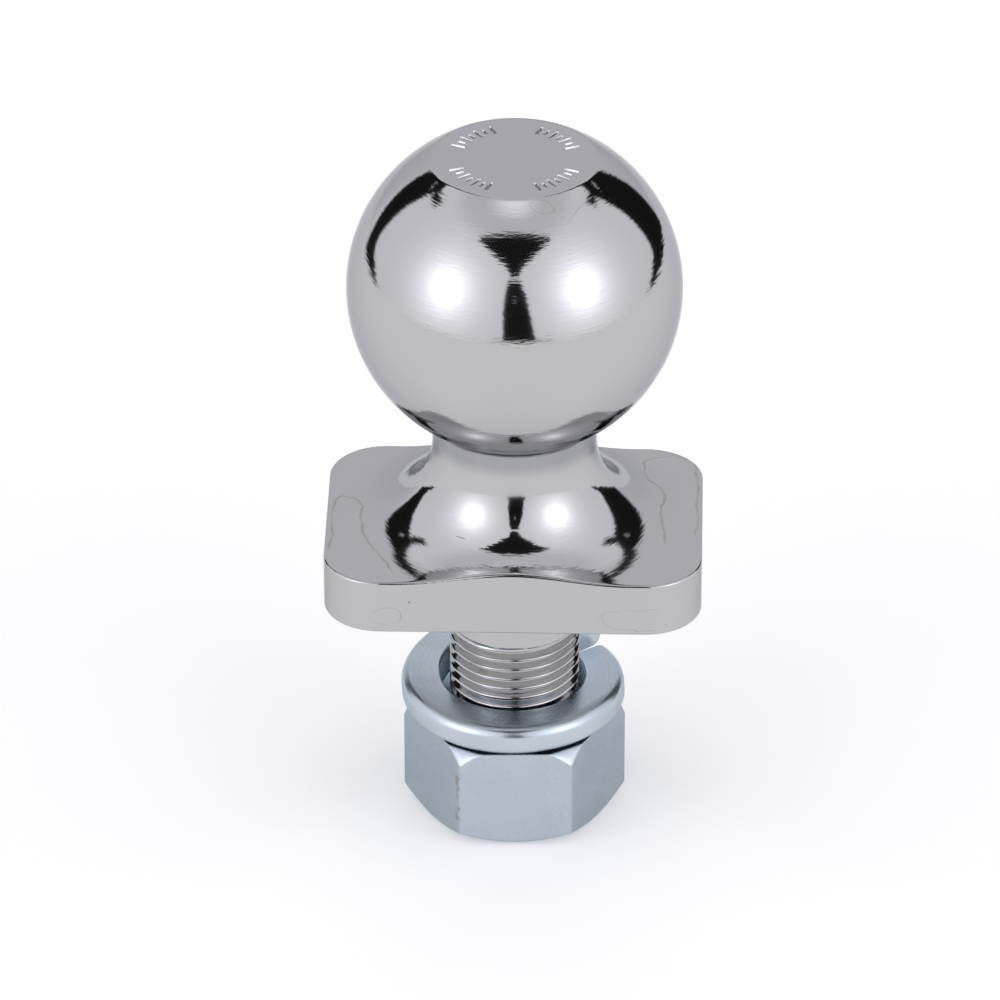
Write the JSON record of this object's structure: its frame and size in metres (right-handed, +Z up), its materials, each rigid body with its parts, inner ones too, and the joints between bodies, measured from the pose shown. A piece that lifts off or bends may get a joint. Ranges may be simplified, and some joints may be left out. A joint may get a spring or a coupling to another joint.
{
  "type": "trailer hitch ball",
  "caption": "Chromed hitch ball with a rectangular flange and a fine-threaded shank, held by a split lock washer and a hex nut.",
  "frame": {"origin": "on the stud's axis at the flange's underside, the face that sits on the drawbar", "axes": "+Z up along the stud's axis towards the ball, X along the flange's long side"},
  "size_m": [0.0538, 0.0476, 0.1061],
  "materials": {
    "chrome_plate": "bright chrome plate over turned and forged steel",
    "zinc_washer": "clear blue zinc plate, satin",
    "zinc_nut": "clear blue zinc plate, satin"
  },
  "bodies": {
    "stud": {"ball_stud": "chrome_plate"},
    "washer": {"lock_washer": "zinc_washer"},
    "nut": {"hex_nut": "zinc_nut"}
  },
  "joints": [
    {"name": "nut_travel", "type": "slide", "parent": "stud", "child": "washer", "axis": [0, 0, 1], "range_m": [-0.0112, 0.0136]},
    {"name": "nut_turn", "type": "hinge", "parent": "washer", "child": "nut", "pos_m": [0, 0, -0.03155], "axis": [0, 0, 1], "range_deg": [-2520, 3060]}
  ],
  "couplings": [
    {"joint": "nut_travel", "follows": "nut_turn", "m_per_rad": 0.00025266}
  ]
}
